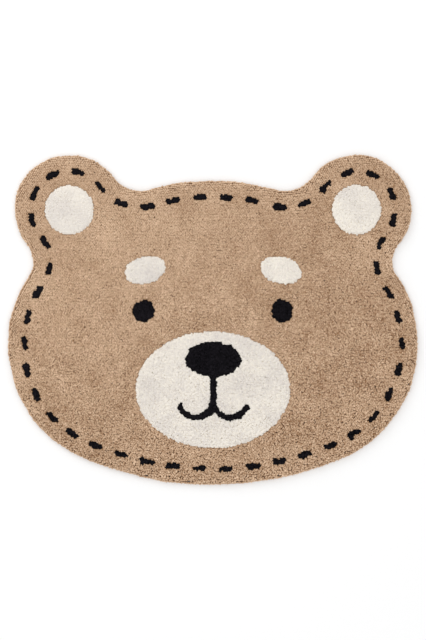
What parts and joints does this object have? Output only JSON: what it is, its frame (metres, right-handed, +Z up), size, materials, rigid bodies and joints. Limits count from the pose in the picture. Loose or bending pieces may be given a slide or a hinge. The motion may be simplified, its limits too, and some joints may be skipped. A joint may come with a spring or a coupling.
{
  "type": "kids rug",
  "caption": "Low-pile tufted cotton rug cut to the outline of a bear's head with round ears, lying flat.",
  "frame": {"origin": "middle of the rug's bounding box at its underside, which lies on the floor at z = 0", "axes": "+X across the head, +Y from the chin towards the ears, +Z up out of the pile"},
  "size_m": [1, 0.805, 0.015],
  "materials": {
    "tan_pile": "matte",
    "cream_pile": "matte",
    "black_pile": "matte",
    "ground_cloth": "matte"
  },
  "bodies": {
    "root": {"rug": "tan_pile"}
  },
  "joints": []
}
